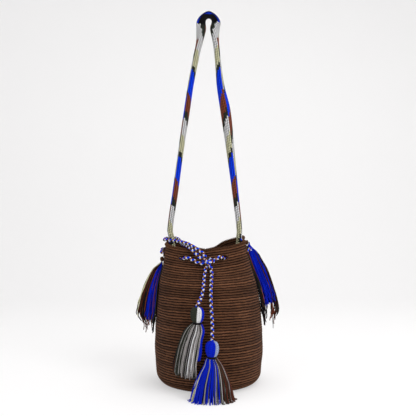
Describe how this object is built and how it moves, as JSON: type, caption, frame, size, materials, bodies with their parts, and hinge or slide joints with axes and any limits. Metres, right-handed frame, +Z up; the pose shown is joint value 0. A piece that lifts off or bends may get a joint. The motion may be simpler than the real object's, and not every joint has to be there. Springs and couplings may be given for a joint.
{
  "type": "wayuu mochila bag",
  "caption": "Crocheted bucket bag with a drawstring mouth, a woven shoulder strap, yarn tassels on the cord and loose yarn fringes at its sides.",
  "frame": {"origin": "centre of the bag's flat base, on the surface that it stands on", "axes": "+Z up, -Y towards the knot and tassels, +X to the right as seen from there"},
  "size_m": [0.3065, 0.2956, 0.8047],
  "materials": {
    "crochet_brown": "matte yarn",
    "strap_weave": "matte yarn",
    "cord_braid": "matte yarn",
    "yarn_blue": "matte yarn",
    "yarn_rust": "matte yarn",
    "yarn_dark": "matte yarn",
    "yarn_olive": "matte yarn",
    "yarn_grey": "matte yarn",
    "yarn_cream": "matte yarn"
  },
  "bodies": {
    "root": {"bag_body": "crochet_brown", "strap": "strap_weave", "drawstring_loop": "cord_braid", "drawstring_bight": "cord_braid", "drawstring_knot": "cord_braid", "drawstring_end_left": "cord_braid", "drawstring_end_right": "cord_braid", "tassel_left_blue": "yarn_blue", "tassel_left_white": "yarn_grey", "tassel_left_olive": "yarn_olive", "tassel_left_rust": "yarn_rust", "tassel_left_grey": "yarn_grey", "tassel_left_tie": "yarn_dark", "tassel_right_white": "yarn_grey", "tassel_right_blue": "yarn_blue", "tassel_right_cream": "yarn_cream", "tassel_right_back_blue": "yarn_blue", "tassel_right_rust": "yarn_rust", "tassel_right_tie": "yarn_dark", "fringe_left_knot": "crochet_brown", "fringe_left_cream": "yarn_cream", "fringe_left_black": "yarn_dark", "fringe_left_blue": "yarn_blue", "fringe_left_dark": "yarn_olive", "fringe_left_back_rust": "yarn_rust", "fringe_left_back_blue": "yarn_blue", "fringe_left_rust": "yarn_rust", "fringe_right_knot": "crochet_brown", "fringe_right_grey": "yarn_grey", "fringe_right_rust": "yarn_rust", "fringe_right_blue": "yarn_blue", "fringe_right_black": "yarn_dark", "fringe_right_back_rust": "yarn_rust", "fringe_right_back_grey": "yarn_grey", "fringe_right_inner_blue": "yarn_blue"}
  },
  "joints": []
}
